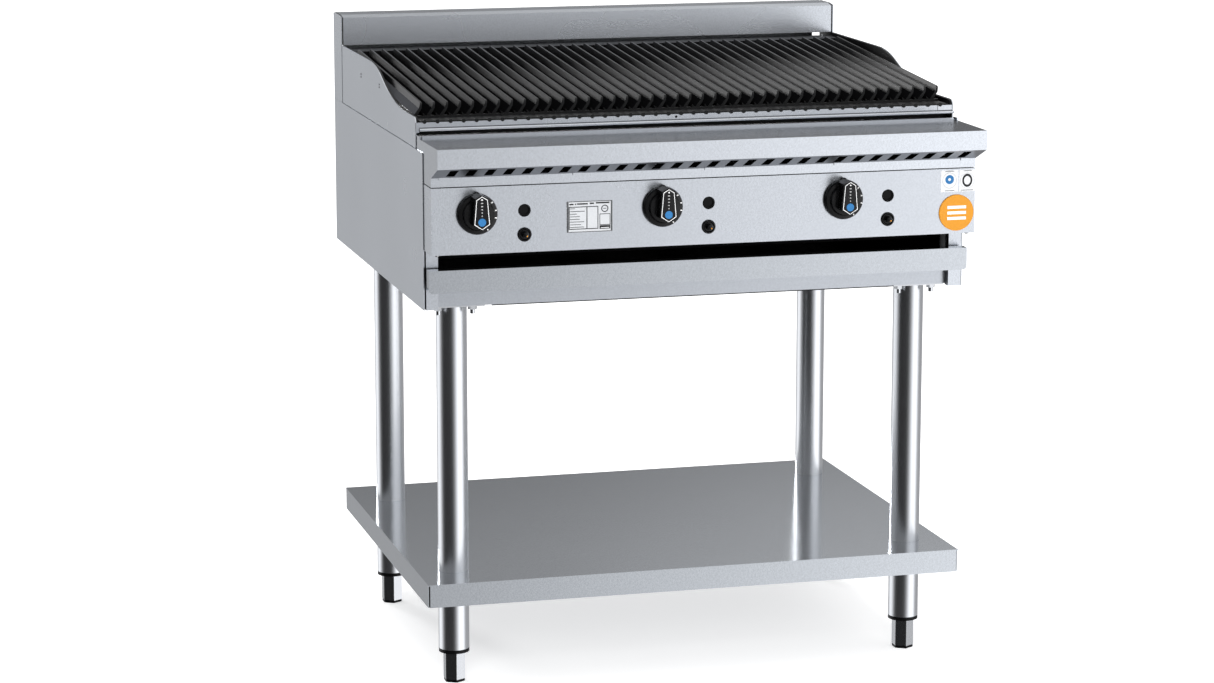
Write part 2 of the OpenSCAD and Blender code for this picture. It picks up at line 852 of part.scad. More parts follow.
module leg_front_left() {
    leg(0);
}

module leg_front_right() {
    leg(1);
}

module leg_rear_left() {
    leg(2);
}

module leg_rear_right() {
    leg(3);
}

// Black sleeve in the end of each tube, with a lip and a bore for the foot's stem
module leg_sleeves() {
    color("#101012") place()
        for (p = leg_xy) difference() {
            union() {
                rod_z(p[0], p[1], [leg_bottom - 6, leg_bottom], leg_r);
                rod_z(p[0], p[1], [leg_bottom - 1, leg_bottom + 32], leg_r - 1.6);
            }
            rod_z(p[0], p[1], [0, leg_bottom + 40], 8.05);
        }
}

// Hexagonal foot with flats to the sides, on a black base, on its adjusting stem
module foot(i) {
    p = leg_xy[i];
    r = foot_flats / sqrt(3);
    base = 4.5;
    color("gainsboro") place() translate([p[0], p[1], 0]) {
        translate([0, 0, base]) rotate([0, 0, 90]) cylinder(h = foot_h - base, r = r, $fn = 6);
        rod_z(0, 0, [foot_h - 2, foot_h + 60], 8);
        rotate([0, 0, 90]) cylinder(h = base, r = r - 0.6, $fn = 6);
    }
}

module foot_front_left() {
    foot(0);
}

module foot_front_right() {
    foot(1);
}

module foot_rear_left() {
    foot(2);
}

module foot_rear_right() {
    foot(3);
}

// Folded shelf with a turned-in lower hem and corner seams backed by short angles
module undershelf() {
    low = shelf_top - shelf_edge;
    t = sheet_t;
    hem = 14;
    seam = 3;
    corner = shelf_hw - seam;
    y = shelf_y;
    mid = (y[0] + y[1]) / 2;
    color("silver") place() {
        difference() {
            union() {
                box([-shelf_hw, shelf_hw], y, [shelf_top - t, shelf_top]);
                folded_x([[y[0] + hem, low], [y[0], low], [y[0], shelf_top - t / 2]],
                    -t, [-corner, corner]);
                folded_x([[y[1] - hem, low], [y[1], low], [y[1], shelf_top - t / 2]],
                    t, [-corner, corner]);
                on_both_sides() along_y([y[0] + 0.1, y[1] - 0.1])
                    polygon(folded([[shelf_hw - hem, low], [shelf_hw, low],
                        [shelf_hw, shelf_top - t / 2]], t));
                folded_x([[mid - 45, shelf_top - t / 2], [mid - 45, low + 6], [mid + 45, low + 6],
                    [mid + 45, shelf_top - t / 2]], t, [-corner + 20, corner - 20]);
            }
            for (p = leg_xy)
                rod_z(p[0], p[1], [low - 1, shelf_top + 1], leg_r + 0.2);
            for (x = [-shelf_hw, shelf_hw])
                for (end = y)
                    translate([x, end, low]) cube([2 * seam, 2 * seam, 2 * shelf_edge - 4], center = true);
        }
        on_both_sides()
            for (end = [[y[0] + t + 0.2, y[0] + 5], [y[1] - 5, y[1] - t - 0.2]])
                box([shelf_hw - 5, shelf_hw - t - 0.2], end, [low + t, shelf_top - t / 2]);
    }
}

module leg_bolts() {
    hex_r = 13 / sqrt(3);
    plate_top = body_bottom + sheet_t + gap + 2;
    color("lightgray") place()
        for (p = leg_xy)
            for (dx = [-bolt_dx, bolt_dx])
                for (dy = [-bolt_dy, bolt_dy])
                    translate([p[0] + dx, p[1] + dy, 0]) {
                        rod_z(0, 0, [leg_top - 13.5, plate_top + 1], 4);
                        translate([0, 0, plate_top]) cylinder(h = 5.5, r = hex_r, $fn = 6);
                        difference() {
                            translate([0, 0, leg_top - 6.5]) cylinder(h = 6.5, r = hex_r, $fn = 6);
                            rod_z(0, 0, [leg_top - 8, leg_top + 1], 4.05);
                        }
                    }
}

module screws() {
    color("lightgray") place() {
        for (x = [-254.5, -131.5, -6.5, 118.5, 243.5, 323.5])
            rod_z(x, member_y + 7, [member_low - 2.5, member_low - 0.05], 3.2);
        for (x = [-438.5, 438.5])
            rod_z(x, -panel_out + 8, [panel_bottom - 2.2, panel_bottom - 0.05], 3.4);
        for (y = [340, 496])
            for (z = [945.6, 950.4])
                on_both_sides() rod_x([guard_x + 0.05, guard_x + 0.45], y, z, 1.5);
    }
}

side_panel_left();
side_panel_right();
rear_panel();
base_frame();
front_crossmember();
front_posts();
control_panel();
front_ledge();
front_rail();
rear_rail();
guard_left();
guard_right();
liner_left();
liner_right();
splashback();
splashback_cheeks();
firebox_front();
firebox_rear();
burner_left();
burner_centre();
burner_right();
radiants();
gas_manifold();
gas_inlet();
gas_valves();
valve_stem_left();
valve_stem_centre();
valve_stem_right();
knob_left();
knob_centre();
knob_right();
igniter_bodies();
igniter_button_left();
igniter_button_centre();
igniter_button_right();
sight_ports();
pilots();
data_plate();
badge();
labels();
grease_pan();
tray_front();
grate_1();
grate_2();
grate_3();
grate_4();
grate_5();
grate_6();
leg_front_left();
leg_front_right();
leg_rear_left();
leg_rear_right();
leg_sleeves();
foot_front_left();
foot_front_right();
foot_rear_left();
foot_rear_right();
undershelf();
leg_bolts();
screws();
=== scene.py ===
"""Looks of the gas charbroiler: materials, printed details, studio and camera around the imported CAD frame."""
import math

import bmesh
import bpy
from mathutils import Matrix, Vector


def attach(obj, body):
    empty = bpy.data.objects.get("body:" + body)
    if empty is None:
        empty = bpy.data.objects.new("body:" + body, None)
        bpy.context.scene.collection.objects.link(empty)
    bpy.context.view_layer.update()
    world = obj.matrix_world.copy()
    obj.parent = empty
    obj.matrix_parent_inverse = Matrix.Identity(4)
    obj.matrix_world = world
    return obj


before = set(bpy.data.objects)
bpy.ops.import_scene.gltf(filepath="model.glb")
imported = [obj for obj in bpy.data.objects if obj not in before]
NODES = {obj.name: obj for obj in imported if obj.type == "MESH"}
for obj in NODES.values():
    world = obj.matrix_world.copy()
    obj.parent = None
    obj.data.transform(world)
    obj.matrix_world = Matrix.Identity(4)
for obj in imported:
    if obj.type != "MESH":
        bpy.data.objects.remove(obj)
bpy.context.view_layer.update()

# Places in the row frame, in metres: x to the right, y to the rear, z up
FRONT_EDGE_Y = -0.326                      # front edge of the side panels
PANEL_Y = FRONT_EDGE_Y - 0.0555            # face of the control panel
RAIL_BACK_Y = FRONT_EDGE_Y + 0.0508        # the front rail's groove and gutter lie behind this
GROOVE_TOP_Z = 0.921
GUTTER_TOP_Z = 0.901
LEDGE_TOP_Z = 0.8985
OUTER_X = 0.445                            # just inside the outer skin
CROSSMEMBER_EDGE_Z = 0.6333                # top of the cross-member's lower edge
SHELF_SEAM_X = (0.4440, 0.4478)            # the corner angles of the undershelf
SHELF_TOP_Z = 0.186
FOOT_BASE_Z = 0.0045
FIRST_BAR_X = -0.43                        # the leftmost grate bar lies left of this

SIDES = ("left", "centre", "right")


# ---- Node trees ----

def srgb(r, g, b):
    """8-bit sRGB to a linear colour."""
    def lin(c):
        c /= 255.0
        return c / 12.92 if c <= 0.04045 else ((c + 0.055) / 1.055) ** 2.4
    return (lin(r), lin(g), lin(b), 1.0)


def scaled(colour, factor):
    return tuple(min(1.0, c * factor) for c in colour[:3]) + (1.0,)


class Graph:
    """A node tree, with short calls for the nodes used here."""

    def __init__(self, tree):
        self.tree = tree
        self.coords = self.add("ShaderNodeTexCoord")

    def add(self, kind, **values):
        node = self.tree.nodes.new(kind)
        for key, value in values.items():
            setattr(node, key, value)
        return node

    def link(self, source, target):
        self.tree.links.new(source, target)

    def feed(self, socket, value):
        """Set a socket to a number or colour, or link it to another node's output."""
        if isinstance(value, (int, float, tuple)):
            socket.default_value = value
        else:
            self.link(value, socket)

    def span(self, value, low, high, out_low, out_high, curve="LINEAR"):
        node = self.add("ShaderNodeMapRange", interpolation_type=curve)
        for key, number in (("From Min", low), ("From Max", high), ("To Min", out_low), ("To Max", out_high)):
            node.inputs[key].default_value = number
        self.link(value, node.inputs["Value"])
        return node.outputs["Result"]

    def mix(self, factor, a, b):
        node = self.add("ShaderNodeMix", data_type="RGBA")
        self.link(factor, node.inputs["Factor"])
        self.feed(node.inputs["A"], a)
        self.feed(node.inputs["B"], b)
        return node.outputs["Result"]

    def calc(self, operation, a, b=0.0):
        node = self.add("ShaderNodeMath", operation=operation)
        self.feed(node.inputs[0], a)
        self.feed(node.inputs[1], b)
        return node.outputs["Value"]


class Coat(Graph):
    """The node tree of a new material."""

    def __init__(self, name):
        self.material = bpy.data.materials.new(name)
        self.material.use_nodes = True
        super().__init__(self.material.node_tree)
        self.shader = self.tree.nodes["Principled BSDF"]

    def set(self, **values):
        for key, value in values.items():
            self.shader.inputs[key.replace("_", " ")].default_value = value

    def noise(self, scale, detail=2.0, rough=0.5, stretch=(1, 1, 1)):
        place = self.add("ShaderNodeMapping")
        place.inputs["Scale"].default_value = stretch
        self.link(self.coords.outputs["Object"], place.inputs["Vector"])
        node = self.add("ShaderNodeTexNoise")
        node.inputs["Scale"].default_value = scale
        node.inputs["Detail"].default_value = detail
        node.inputs["Roughness"].default_value = rough
        self.link(place.outputs["Vector"], node.inputs["Vector"])
        return node.outputs["Fac"]

    def contrast(self, noise, low, high):
        """The middle of a noise, spread from low to high."""
        return self.span(noise, 0.3, 0.7, low, high)

    def bump(self, height, strength, distance):
        node = self.add("ShaderNodeBump")
        node.inputs["Strength"].default_value = strength
        node.inputs["Distance"].default_value = distance
        self.link(height, node.inputs["Height"])
        self.link(node.outputs["Normal"], self.shader.inputs["Normal"])


# ---- Materials ----

def steel(name, tone, rough, mottle=0.12, variation=0.05, scale=340):
    """Satin stainless sheet with a fine even mottle, broad soft clouds and a few faint scuffs."""
    g = Coat(name)
    fine = g.noise(scale, rough=0.6)
    cloud = g.noise(3.0)
    scuff = g.noise(22, 5.0, 0.7, (0.15, 1, 1))
    colour = g.mix(g.contrast(fine, 0, 1), scaled(tone, 1 - variation), scaled(tone, 1 + variation))
    g.link(colour, g.shader.inputs["Base Color"])
    g.set(Metallic=1.0)
    scuffed = g.span(scuff, 0.62, 0.8, 0.0, 0.03)
    clouded = g.contrast(cloud, rough - 0.01, rough + 0.015)
    g.link(g.calc("ADD", scuffed, clouded), g.shader.inputs["Roughness"])
    g.bump(fine, mottle, 0.0005)
    return g.material


def iron():
    """Black glossy grate coating over cast iron."""
    g = Coat("coated_cast_iron")
    grit = g.noise(420, 3.0, 0.6)
    cloud = g.noise(7, 3.0)
    g.link(g.mix(g.contrast(cloud, 0, 1), srgb(5, 5, 6), srgb(12, 12, 13)), g.shader.inputs["Base Color"])
    rough = g.calc("ADD", g.contrast(grit, -0.01, 0.01), g.contrast(cloud, 0.35, 0.38))
    g.link(rough, g.shader.inputs["Roughness"])
    g.set(Specular_IOR_Level=0.4)
    g.bump(grit, 0.02, 0.0005)
    return g.material


def enamel():
    """Black vitreous enamel with a slight orange peel."""
    g = Coat("black_enamel")
    peel = g.noise(160)
    g.link(g.mix(peel, srgb(5, 5, 6), srgb(12, 12, 13)), g.shader.inputs["Base Color"])
    g.link(g.contrast(peel, 0.42, 0.5), g.shader.inputs["Roughness"])
    g.set(Specular_IOR_Level=0.2)
    g.bump(peel, 0.05, 0.0004)
    return g.material


def plastic(name, colour, rough, gloss=0.5):
    """A smooth non-metal: moulded plastic, paint, paper or ink."""
    g = Coat(name)
    fine = g.noise(500)
    g.link(g.mix(fine, scaled(colour, 0.85), colour), g.shader.inputs["Base Color"])
    g.link(g.contrast(fine, rough - 0.03, rough + 0.03), g.shader.inputs["Roughness"])
    g.set(Specular_IOR_Level=gloss)
    g.bump(fine, 0.02, 0.0003)
    return g.material


MATERIALS = {
    "sheet": steel("satin_stainless_sheet", srgb(222, 226, 232), 0.27),
    "member": steel("satin_crossmember", srgb(206, 210, 216), 0.3),
    "folded": steel("bright_folded_sheet", srgb(204, 208, 213), 0.13, 0.07),
    "bright": steel("bright_stainless_sheet", srgb(226, 230, 236), 0.15, 0.07),
    "side": steel("satin_stainless_side", srgb(218, 222, 228), 0.26),
    "tube": steel("polished_tube", srgb(226, 228, 231), 0.29, 0.004, 0.01),
    "foot": steel("polished_foot", srgb(226, 228, 231), 0.2, 0.02, 0.02),
    # the ledge top as a darker copy of the stainless: painted shade
    "top": steel("shaded_ledge_top", srgb(138, 141, 146), 0.24, 0.12, 0.06),
    # the ledge's down-facing vent faces as a darker copy of the stainless: painted shade
    "vent": steel("shaded_vent_strip", srgb(176, 179, 184), 0.32),
    # the rail's groove face as a darker copy of the stainless: painted shade in the recess
    "groove": steel("shaded_groove", srgb(128, 130, 134), 0.45, 0.1),
    "galv": steel("galvanised_sheet", srgb(176, 180, 184), 0.42, 0.1, 0.1, 90),
    "zinc": steel("zinc_fasteners", srgb(190, 190, 188), 0.3, 0.02),
    "brass": steel("machined_brass", srgb(196, 162, 96), 0.3, 0.02),
    "iron": iron(),
    "enamel": enamel(),
    # dull black with no reflection on the grate blades, kept as dark as the shade under the bars' heads:
    # painted shade
    "blade": plastic("painted_shade_casting", srgb(9, 9, 10), 0.6, 0.0),
    # a grey copy of the same casting for the first bar's blades: painted light
    "blade_lit": plastic("painted_light_casting", srgb(66, 67, 70), 0.6, 0.0),
    "black_gloss": plastic("black_gloss_plastic", srgb(7, 7, 8), 0.2, 0.35),
    "black_matt": plastic("black_matt_plastic", srgb(6, 6, 7), 0.4, 0.2),
    # a pale matt coat that makes the shaded gutter floor look lit: painted light
    "gutter_painted_light": plastic("painted_light_gutter_floor", srgb(235, 236, 238), 0.6),
    "pipe": plastic("painted_pipe", srgb(92, 94, 96), 0.4),
    "print": plastic("label_stock", srgb(222, 223, 225), 0.45),
    "plate": plastic("plate_face", srgb(192, 194, 197), 0.45),
    "orange": plastic("orange_disc", srgb(212, 143, 40), 0.35, 0.3),
    "white_ink": plastic("white_ink", srgb(238, 238, 238), 0.4),
    "pale_ink": plastic("pale_ink", srgb(170, 170, 170), 0.4),
    "blue_ink": plastic("blue_ink", srgb(32, 108, 165), 0.4),
    "grey_ink": plastic("grey_ink", srgb(85, 87, 90), 0.5),
    "black_ink": plastic("black_ink", srgb(25, 25, 26), 0.5),
    "line_ink": plastic("line_ink", srgb(45, 46, 48), 0.5),
}
CORNERS = ["front_left", "front_right", "rear_left", "rear_right"]
GRATES = ["grate_%d" % number for number in range(1, 7)]
KNOBS = ["knob_" + side for side in SIDES]
BUTTONS = ["igniter_button_" + side for side in SIDES]
STEMS = ["valve_stem_" + side for side in SIDES]
LOOKS = {
    "member": ["front_crossmember"],
    "folded": ["tray_front", "undershelf"],
    "sheet": ["front_posts", "control_panel", "front_rail", "splashback"],
    "bright": ["front_ledge"],
    "side": ["side_panel_left", "side_panel_right", "guard_left", "guard_right", "splashback_cheeks"],
    "galv": ["rear_panel"],
    "tube": ["leg_" + corner for corner in CORNERS],
    "foot": ["foot_" + corner for corner in CORNERS] + STEMS + ["leg_bolts"],
    "zinc": ["screws", "pilots"] + ["burner_" + side for side in SIDES],
    "enamel": ["rear_rail", "liner_left", "liner_right", "firebox_front", "firebox_rear", "grease_pan"],
    "iron": ["radiants"] + GRATES,
    "pipe": ["gas_manifold", "gas_inlet"],
    "brass": ["gas_valves"],
    "black_gloss": ["igniter_bodies"] + KNOBS + BUTTONS,
    "black_matt": ["sight_ports", "leg_sleeves", "base_frame"],
    "print": ["labels"],
    "plate": ["data_plate"],
    "orange": ["badge"],
}


def coat(name, look):
    """Give a whole CAD node one material."""
    NODES[name].data.materials.clear()
    NODES[name].data.materials.append(MATERIALS[look])


def recoat(name, look, test):
    """Give the faces of a CAD node for which test(centre, normal) holds another material."""
    mesh = NODES[name].data
    mesh.materials.append(MATERIALS[look])
    slot = len(mesh.materials) - 1
    to_world = NODES[name].matrix_world
    for face in mesh.polygons:
        if test(to_world @ face.center, face.normal):
            face.material_index = slot


def finish_faces():
    """Painted shade: black in the gap beside the left post, along the cross-member's lower edge and in the
    shelf's corner seams, darker copies of the steel on the ledge top, the vent strip and the groove, and dull
    black on the blades under the bars' heads. Painted light: a pale gutter floor and a grey copy on the first
    bar's blades. Also black on the rail behind its front, the screws outside the skin, the splashback's ends,
    the cheeks' inner faces and the feet's bases.
    """
    recoat("front_rail", "enamel", lambda c, n: c.y > RAIL_BACK_Y and c.z < GROOVE_TOP_Z)
    # Painted shade: the groove face just behind the rail in the darker copy of the steel
    recoat("front_rail", "groove", lambda c, n: RAIL_BACK_Y < c.y < RAIL_BACK_Y + 0.002 and n.y < -0.5)
    # Painted shade: the ledge's top face in the darker copy of the steel
    recoat("front_ledge", "top", lambda c, n: c.z > LEDGE_TOP_Z and n.z > 0.9)
    # Painted shade: the ledge's down-and-forward faces in the darker copy of the steel
    recoat("front_ledge", "vent", lambda c, n: n.z < -0.5 and n.y < -0.2)
    # Painted light: the gutter floor behind the rail in pale matt, so it reads mid-grey in its shade
    recoat("front_rail", "gutter_painted_light", lambda c, n: c.y > RAIL_BACK_Y and c.z < GUTTER_TOP_Z and n.z > 0.5)
    recoat("screws", "black_matt", lambda c, n: abs(c.x) > OUTER_X + 0.004)
    recoat("splashback", "black_matt", lambda c, n: abs(n.x) > 0.5 and abs(c.x) > OUTER_X)
    recoat("splashback_cheeks", "black_matt", lambda c, n: c.x * n.x < -0.2)
    # Painted shade: black along the cross-member's lower edge, where the hem's shadow falls
    recoat("front_crossmember", "black_matt", lambda c, n: c.z < CROSSMEMBER_EDGE_Z)
    # Painted shade: black on the left post's outer face, the shadow gap beside the side panel
    recoat("front_posts", "black_matt", lambda c, n: c.x < -0.4 and n.x < -0.5)
    # Painted shade: black on the inner faces of the shelf's corner seams
    recoat("undershelf", "black_matt",
           lambda c, n: SHELF_SEAM_X[0] < abs(c.x) < SHELF_SEAM_X[1] and abs(n.z) < 0.5 and c.z < SHELF_TOP_Z)
    # Painted shade: the blades under the bars' heads in dull black with no reflection
    for grate in GRATES:
        recoat(grate, "blade", lambda c, n: -0.9 < n.x < -0.6 and n.z > 0.4)
    # Painted light: the first bar's blades in a grey copy of the same casting
    recoat("grate_1", "blade_lit", lambda c, n: c.x < FIRST_BAR_X and -0.9 < n.x < -0.6 and n.z > 0.4)
    for corner in CORNERS:
        recoat("foot_" + corner, "black_matt", lambda c, n: c.z < FOOT_BASE_Z)


# Width of the rounded edges of folded sheets and mouldings
EDGES = {"front_ledge": 0.0009, "control_panel": 0.0006, "tray_front": 0.0009, "undershelf": 0.0011,
         "splashback": 0.0006, "side_panel_left": 0.0011, "side_panel_right": 0.0006, "front_rail": 0.0004,
         "knob_left": 0.0005, "knob_centre": 0.0005, "knob_right": 0.0005, "badge": 0.0004}


def round_edges(name, width):
    bevel = NODES[name].modifiers.new("edge", "BEVEL")
    bevel.width = width
    bevel.segments = 2
    bevel.limit_method = "ANGLE"
    bevel.angle_limit = math.radians(25)
    bevel.harden_normals = True


for look, names in LOOKS.items():
    for name in names:
        coat(name, look)
finish_faces()
for name, width in EDGES.items():
    round_edges(name, width)


# ---- Printed details ----

INK_DEPTH = 0.00015


def prism(name, outline, y, ink, inner=None, depth=INK_DEPTH):
    """A thin raised shape facing the cook. The outline is a list of (x, z); inner is the outline of a hole
    through it, with as many points."""
    count = len(outline)
    rings = [outline] if inner is None else [outline, inner]
    verts = []
    for points in rings:
        verts += [(x, y, z) for x, z in points] + [(x, y - depth, z) for x, z in points]
    faces = [(i, (i + 1) % count, count + (i + 1) % count, count + i) for i in range(count)]
    if inner is None:
        faces += [tuple(range(count, 2 * count)), tuple(range(count - 1, -1, -1))]
    else:
        for i in range(count):
            j = (i + 1) % count
            faces.append((2 * count + j, 2 * count + i, 3 * count + i, 3 * count + j))
            faces.append((count + i, count + j, 3 * count + j, 3 * count + i))
            faces.append((j, i, 2 * count + i, 2 * count + j))
    mesh = bpy.data.meshes.new(name)
    mesh.from_pydata(verts, [], faces)
    mesh.validate()
    shape = bmesh.new()
    shape.from_mesh(mesh)
    bmesh.ops.recalc_face_normals(shape, faces=shape.faces)
    shape.to_mesh(mesh)
    shape.free()
    mesh.materials.append(MATERIALS[ink])
    piece = bpy.data.objects.new(name, mesh)
    bpy.context.scene.collection.objects.link(piece)
    return piece


def joined(name, pieces, body):
    """One piece made of several, riding on a body."""
    for other in bpy.context.selected_objects:
        other.select_set(False)
    for piece in pieces:
        piece.select_set(True)
    bpy.context.view_layer.objects.active = pieces[0]
    if len(pieces) > 1:
        bpy.ops.object.join()
    pieces[0].name = name
    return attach(pieces[0], body)


def disc(x, z, radius, sides=32, squash=1.0):
    """A circle around x, z, stretched upwards by squash."""
    turns = [2 * math.pi * i / sides for i in range(sides)]
    return [(x + radius * math.cos(turn), z + radius * math.sin(turn) * squash) for turn in turns]


def block(x0, x1, z0, z1):
    return [(x0, z0), (x1, z0), (x1, z1), (x0, z1)]


class Sheet:
    """A flat face to print on: places are millimetres to the right of and down from its upper left corner."""

    def __init__(self, x, z, y):
        self.x, self.z, self.y = x, z, y

    def at(self, across, down):
        return self.x + across / 1000, self.z - down / 1000

    def bars(self, rows, ink, height):
        """Short bars in place of printed words: rows lists (left, right, down)."""
        pieces = []
        for left, right, down in rows:
            x0, z = self.at(left, down)
            outline = block(x0, self.at(right, down)[0], z - height / 2000, z + height / 2000)
            pieces.append(prism("line", outline, self.y, ink))
        return pieces

    def box(self, name, left, right, top, bottom, stroke, ink):
        x0, z1 = self.at(left, top)
        x1, z0 = self.at(right, bottom)
        s = stroke / 1000
        return prism(name, block(x0, x1, z0, z1), self.y, ink, block(x0 + s, x1 - s, z0 + s, z1 - s))

    def ring(self, name, across, down, radius, stroke, ink, squash=1.0):
        x, z = self.at(across, down)
        inner = disc(x, z, (radius - stroke) / 1000, squash=squash)
        return prism(name, disc(x, z, radius / 1000, squash=squash), self.y, ink, inner)


KNOB_X = dict(zip(SIDES, (-0.3761, -0.0761, 0.2239)))
KNOB_Z = 0.7905
GRIP_FACE_Y = FRONT_EDGE_Y - 0.0925
SKIRT_FACE_Y = FRONT_EDGE_Y - 0.0651
GRIP_FRAME = [(0, 0.0322), (-0.0088, 0.0269), (-0.0123, -0.0118), (0, -0.0197), (0.0123, -0.0118),
              (0.0088, 0.0269)]
ARROW = [(-0.0017, 0.0263), (0.0017, 0.0263), (0, 0.0288)]
# Painted glints: white ticks on the right of each knob's skirt, where its highlights fall
SKIRT_GLINTS = ((40, 0.0040), (12, 0.0036), (-12, 0.0040), (-58, 0.0030))       # angle in degrees and length
GLINT_RADIUS = 0.0281
GLINT_HALF = 0.0009
DOT_DROP = 0.0082


def skirt_glint(x, angle, length):
    """A painted glint: a white tick on a knob's skirt, pointing away from the knob's centre."""
    away = Vector((math.cos(math.radians(angle)), math.sin(math.radians(angle))))
    across = Vector((-away.y, away.x))
    near, far = GLINT_RADIUS - length / 2, GLINT_RADIUS + length / 2
    corners = []
    for out, aside in ((near, -GLINT_HALF), (far, -GLINT_HALF), (far, GLINT_HALF), (near, GLINT_HALF)):
        corners.append(tuple(Vector((x, KNOB_Z)) + away * out + across * aside))
    return prism("mark", corners, SKIRT_FACE_Y, "white_ink", depth=0.0006)


def knob_print(side):
    """The white frame, arrow, scale and blue dot on a knob's grip, and white ticks on its skirt as painted
    glints.
    """
    x, body = KNOB_X[side], side + "_knob"
    outer = [(x + px, KNOB_Z + pz) for px, pz in GRIP_FRAME]
    inner = [(x + px * 0.915, KNOB_Z + pz * 0.965 + 0.0002) for px, pz in GRIP_FRAME]
    arrow = [(x + px, KNOB_Z + pz) for px, pz in ARROW]
    white = [prism("frame", outer, GRIP_FACE_Y, "white_ink", inner),
             prism("arrow", arrow, GRIP_FACE_Y, "white_ink")]
    joined("knob_print_" + side, white, body)
    steps = []
    for row in range(5):
        z = KNOB_Z + 0.0218 - 0.0050 * row
        half = 0.0017 - 0.00022 * row
        outline = block(x - half, x + half, z - 0.0008, z + 0.0008)
        steps.append(prism("step", outline, GRIP_FACE_Y, "pale_ink"))
    joined("knob_scale_" + side, steps, body)
    # Painted glints on the skirt
    joined("knob_glints_" + side, [skirt_glint(x, angle, length) for angle, length in SKIRT_GLINTS], body)
    dot = prism("dot", disc(x, KNOB_Z - DOT_DROP, 0.0062), GRIP_FACE_Y, "blue_ink")
    joined("knob_dot_" + side, [dot], body)


BUTTON_X = dict(zip(SIDES, (-0.300, 0.0, 0.300)))
BUTTON_Z = 0.755
BUTTON_FACE_Y = PANEL_Y - 0.0109


def igniter_spot(side):
    """The small orange spark sign on an igniter button."""
    outline = disc(BUTTON_X[side] + 0.0020, BUTTON_Z - 0.0014, 0.0010, 12)
    spot = prism("spot", outline, BUTTON_FACE_Y, "orange", depth=0.0002)
    joined("igniter_spot_" + side, [spot], side + "_igniter_button")


def plate_print():
    """A bordered table, rows of bars in place of words, and a plain ring on the data plate."""
    plate = Sheet(-0.232, 0.804, PANEL_Y - 0.0008)
    ruled = [plate.box("border", 0.2, 73.8, 0.2, 49.2, 1.0, "line_ink"),
             plate.box("table", 3.2, 51.0, 8.5, 44.7, 1.3, "line_ink")]
    ruled += plate.bars([(31.8, 33.3, 26.6)], "line_ink", 34.8)
    ruled += [plate.box("window", 53.0, 70.5, 21.0, 39.0, 1.0, "line_ink"),
              plate.ring("mark", 61.5, 12.8, 5.8, 1.5, "line_ink")]
    joined("plate_lines", ruled, "grill_frame")
    rows = [(5, 13, 11.6), (5, 29, 16.0), (5, 16, 20.2), (5, 21, 24.3), (5, 21, 28.5), (5, 28, 32.7),
            (5, 23, 37.0), (5, 28, 41.0), (59, 64, 12.8)]
    grey = plate.bars([(0.9, 3.0, 24.6), (71.2, 73.1, 24.6)], "grey_ink", 46.2)
    joined("plate_rows", grey + plate.bars(rows, "grey_ink", 1.1), "grill_frame")
    title = [(4, 11, 4.8), (13, 15, 4.6), (16.5, 34, 4.4), (37, 44, 4.0), (47, 69, 3.6)]
    bar = plate.bars([(53, 70.5, 42.3)], "black_ink", 5.5)
    joined("plate_title", plate.bars(title, "black_ink", 2.2) + bar, "grill_frame")
    above = Sheet(plate.x, plate.z, plate.y - INK_DEPTH)
    joined("plate_bar_line", above.bars([(55, 68.5, 43.2)], "print", 1.0), "grill_frame")


def label_print():
    """Plain rings and bars on the two paper labels."""
    left = Sheet(0.390, 0.830, PANEL_Y - 0.0003)
    right = Sheet(0.4213, 0.830, PANEL_Y - 0.0003)
    marks = [left.ring("ring", 14.7, 16.5, 12.2, 0.7, "pale_ink", 1.05),
             right.ring("ring", 13.7, 17.5, 12.2, 0.5, "pale_ink", 1.05)]
    marks += left.bars([(7, 22, 1.6), (7, 23, 33.0)], "grey_ink", 1.0)
    marks += right.bars([(7, 21, 1.6), (3, 24, 33.0)], "grey_ink", 1.0)
    joined("label_rows", marks, "grill_frame")
    joined("label_blue", [left.ring("ring", 14.7, 15.0, 7.4, 5.0, "blue_ink")], "grill_frame")
    joined("label_black", [right.ring("ring", 13.7, 17.2, 8.6, 3.0, "black_ink", 1.25)], "grill_frame")


def badge_print():
    """Three plain bars on the round badge, placed from its centre."""
    badge = Sheet(0.417, 0.761, PANEL_Y - 0.0025)
    joined("badge_bars", badge.bars([(-16, 16, -9.0), (-16, 16, 0.0), (-16, 16, 9.0)], "white_ink", 4.8),
           "grill_frame")


for side in SIDES:
    knob_print(side)
for side in SIDES:
    igniter_spot(side)
plate_print()
label_print()
badge_print()


# ---- Studio ----

FLOOR_HALF = 14.0
# Brightness of the studio around the grill by compass direction, in degrees from the front, + to the right:
# one list for the walls near eye level, two for the softboxes above them
WALLS = [(-180, 0.42), (-160, 0.42), (-152, 0.95), (-145, 1.25), (-118, 1.25), (-105, 0.6), (-95, 0.25),
         (-85, 0.05), (-78, 0.012), (-14, 0.015), (-5, 0.1), (4, 0.3), (12, 0.58), (16, 0.82), (21, 1.12),
         (26, 1.5), (68, 1.5), (78, 0.5), (92, 0.42), (160, 0.42), (180, 0.42)]
UPPER = [(-180, 0.5), (-140, 0.5), (-120, 0.4), (-80, 0.2), (-10, 0.25), (20, 0.9), (60, 0.9), (90, 0.3),
         (150, 0.05), (172, 0.05), (180, 0.5)]
HIGH = [(-180, 0.6), (-120, 0.5), (-80, 0.3), (-10, 0.25), (20, 0.9), (60, 0.9), (90, 0.5), (150, 0.8),
        (160, 0.6), (168, 0.38), (176, 0.38), (180, 0.6)]
BELOW = (0.3, 0.3, 0.31, 1.0)
OVERHEAD = (0.9, 0.9, 0.9, 1.0)
WHITE = (1.0, 1.0, 1.0, 1.0)


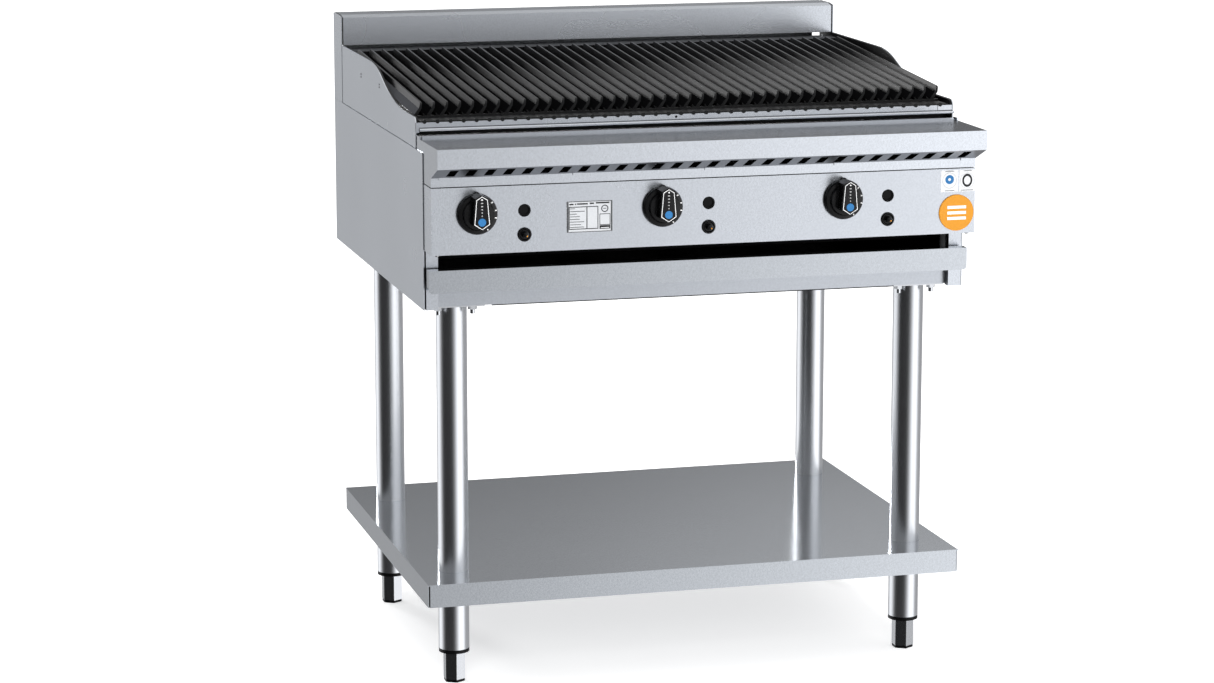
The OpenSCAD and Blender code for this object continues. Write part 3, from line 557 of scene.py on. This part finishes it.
def pale_floor():
    mesh = bpy.data.meshes.new("floor")
    corners = [(x * FLOOR_HALF, y * FLOOR_HALF, 0) for x, y in ((-1, -1), (1, -1), (1, 1), (-1, 1))]
    mesh.from_pydata(corners, [], [(0, 1, 2, 3)])
    floor = bpy.data.objects.new("floor", mesh)
    bpy.context.scene.collection.objects.link(floor)
    g = Coat("pale_floor")
    g.link(g.mix(g.noise(2), srgb(243, 243, 243), srgb(246, 246, 246)), g.shader.inputs["Base Color"])
    g.set(Roughness=0.9, Emission_Color=WHITE, Emission_Strength=0.5)
    mesh.materials.append(g.material)
    floor.visible_glossy = False


def light(name, location, target, size, power, mirrored=False):
    """A soft lamp; unless mirrored, the polished surfaces don't reflect it."""
    data = bpy.data.lights.new(name, "AREA")
    data.shape = "RECTANGLE"
    data.size, data.size_y = size
    data.energy = power
    lamp = bpy.data.objects.new(name, data)
    lamp.location = location
    lamp.rotation_euler = (Vector(target) - Vector(location)).to_track_quat("-Z", "Y").to_euler()
    lamp.visible_glossy = mirrored
    bpy.context.scene.collection.objects.link(lamp)


def compass_band(g, place, points):
    """A band of light and dark around the horizon; place runs from 0 to 1 once round."""
    ramp = g.add("ShaderNodeValToRGB")
    ramp.color_ramp.interpolation = "EASE"
    stops = ramp.color_ramp.elements
    stops.remove(stops[1])
    for index, (angle, value) in enumerate(points):
        stop = stops.new((angle + 180) / 360) if index else stops[0]
        stop.color = (value, value * 1.01, value * 1.03, 1.0)
    g.link(place, ramp.inputs["Fac"])
    return ramp.outputs["Color"]


def studio():
    """A soft studio that only reflections and lighting see; the camera sees plain white behind the object."""
    world = bpy.data.worlds.new("studio")
    world.use_nodes = True
    bpy.context.scene.world = world
    g = Graph(world.node_tree)
    split = g.add("ShaderNodeSeparateXYZ")
    g.link(g.coords.outputs["Generated"], split.inputs[0])
    turn = g.calc("ARCTAN2", split.outputs["X"], g.calc("MULTIPLY", split.outputs["Y"], -1.0))
    place = g.calc("ADD", g.calc("DIVIDE", turn, 2 * math.pi), 0.5)
    height = split.outputs["Z"]

    def above(start, end):
        """0 at a start height and 1 at an end height, softly in between."""
        return g.span(height, start, end, 0.0, 1.0, "SMOOTHSTEP")

    sky = g.mix(above(-0.35, -0.7), compass_band(g, place, WALLS), BELOW)
    sky = g.mix(above(0.02, 0.12), sky, compass_band(g, place, UPPER))
    sky = g.mix(above(0.17, 0.27), sky, compass_band(g, place, HIGH))
    sky = g.mix(above(0.45, 0.75), sky, OVERHEAD)
    seen = g.add("ShaderNodeLightPath").outputs["Is Camera Ray"]
    background = world.node_tree.nodes["Background"]
    g.link(g.mix(seen, sky, WHITE), background.inputs["Color"])
    background.inputs["Strength"].default_value = 1.0


def photo_camera():
    """The camera at the photograph's angle, slightly above the grill and to its left."""
    camera = bpy.data.objects.new("camera", bpy.data.cameras.new("camera"))
    camera.data.sensor_width = 36.0
    camera.data.lens = 102.1
    camera.data.clip_end = 100.0
    camera.location = (-1.5532, -5.2197 + FRONT_EDGE_Y, 1.6094)
    camera.rotation_euler = (math.radians(90 - 10.918), 0, math.radians(-15.029))
    bpy.context.scene.collection.objects.link(camera)
    bpy.context.scene.camera = camera


pale_floor()
studio()
light("front_fill", (-1.2, -4.0, 2.0), (0, 0, 0.7), (2.5, 2.0), 110)
light("top_fill", (0, 0.3, 3.5), (0, 0, 0.6), (2.5, 2.5), 70)
light("rear_rim", (-4.6, 14.0, 4.05), (0, 0, 0.9), (2.4, 1.6), 660, mirrored=True)
bpy.context.scene.view_settings.view_transform = "Standard"
photo_camera()

bpy.context.view_layer.update()
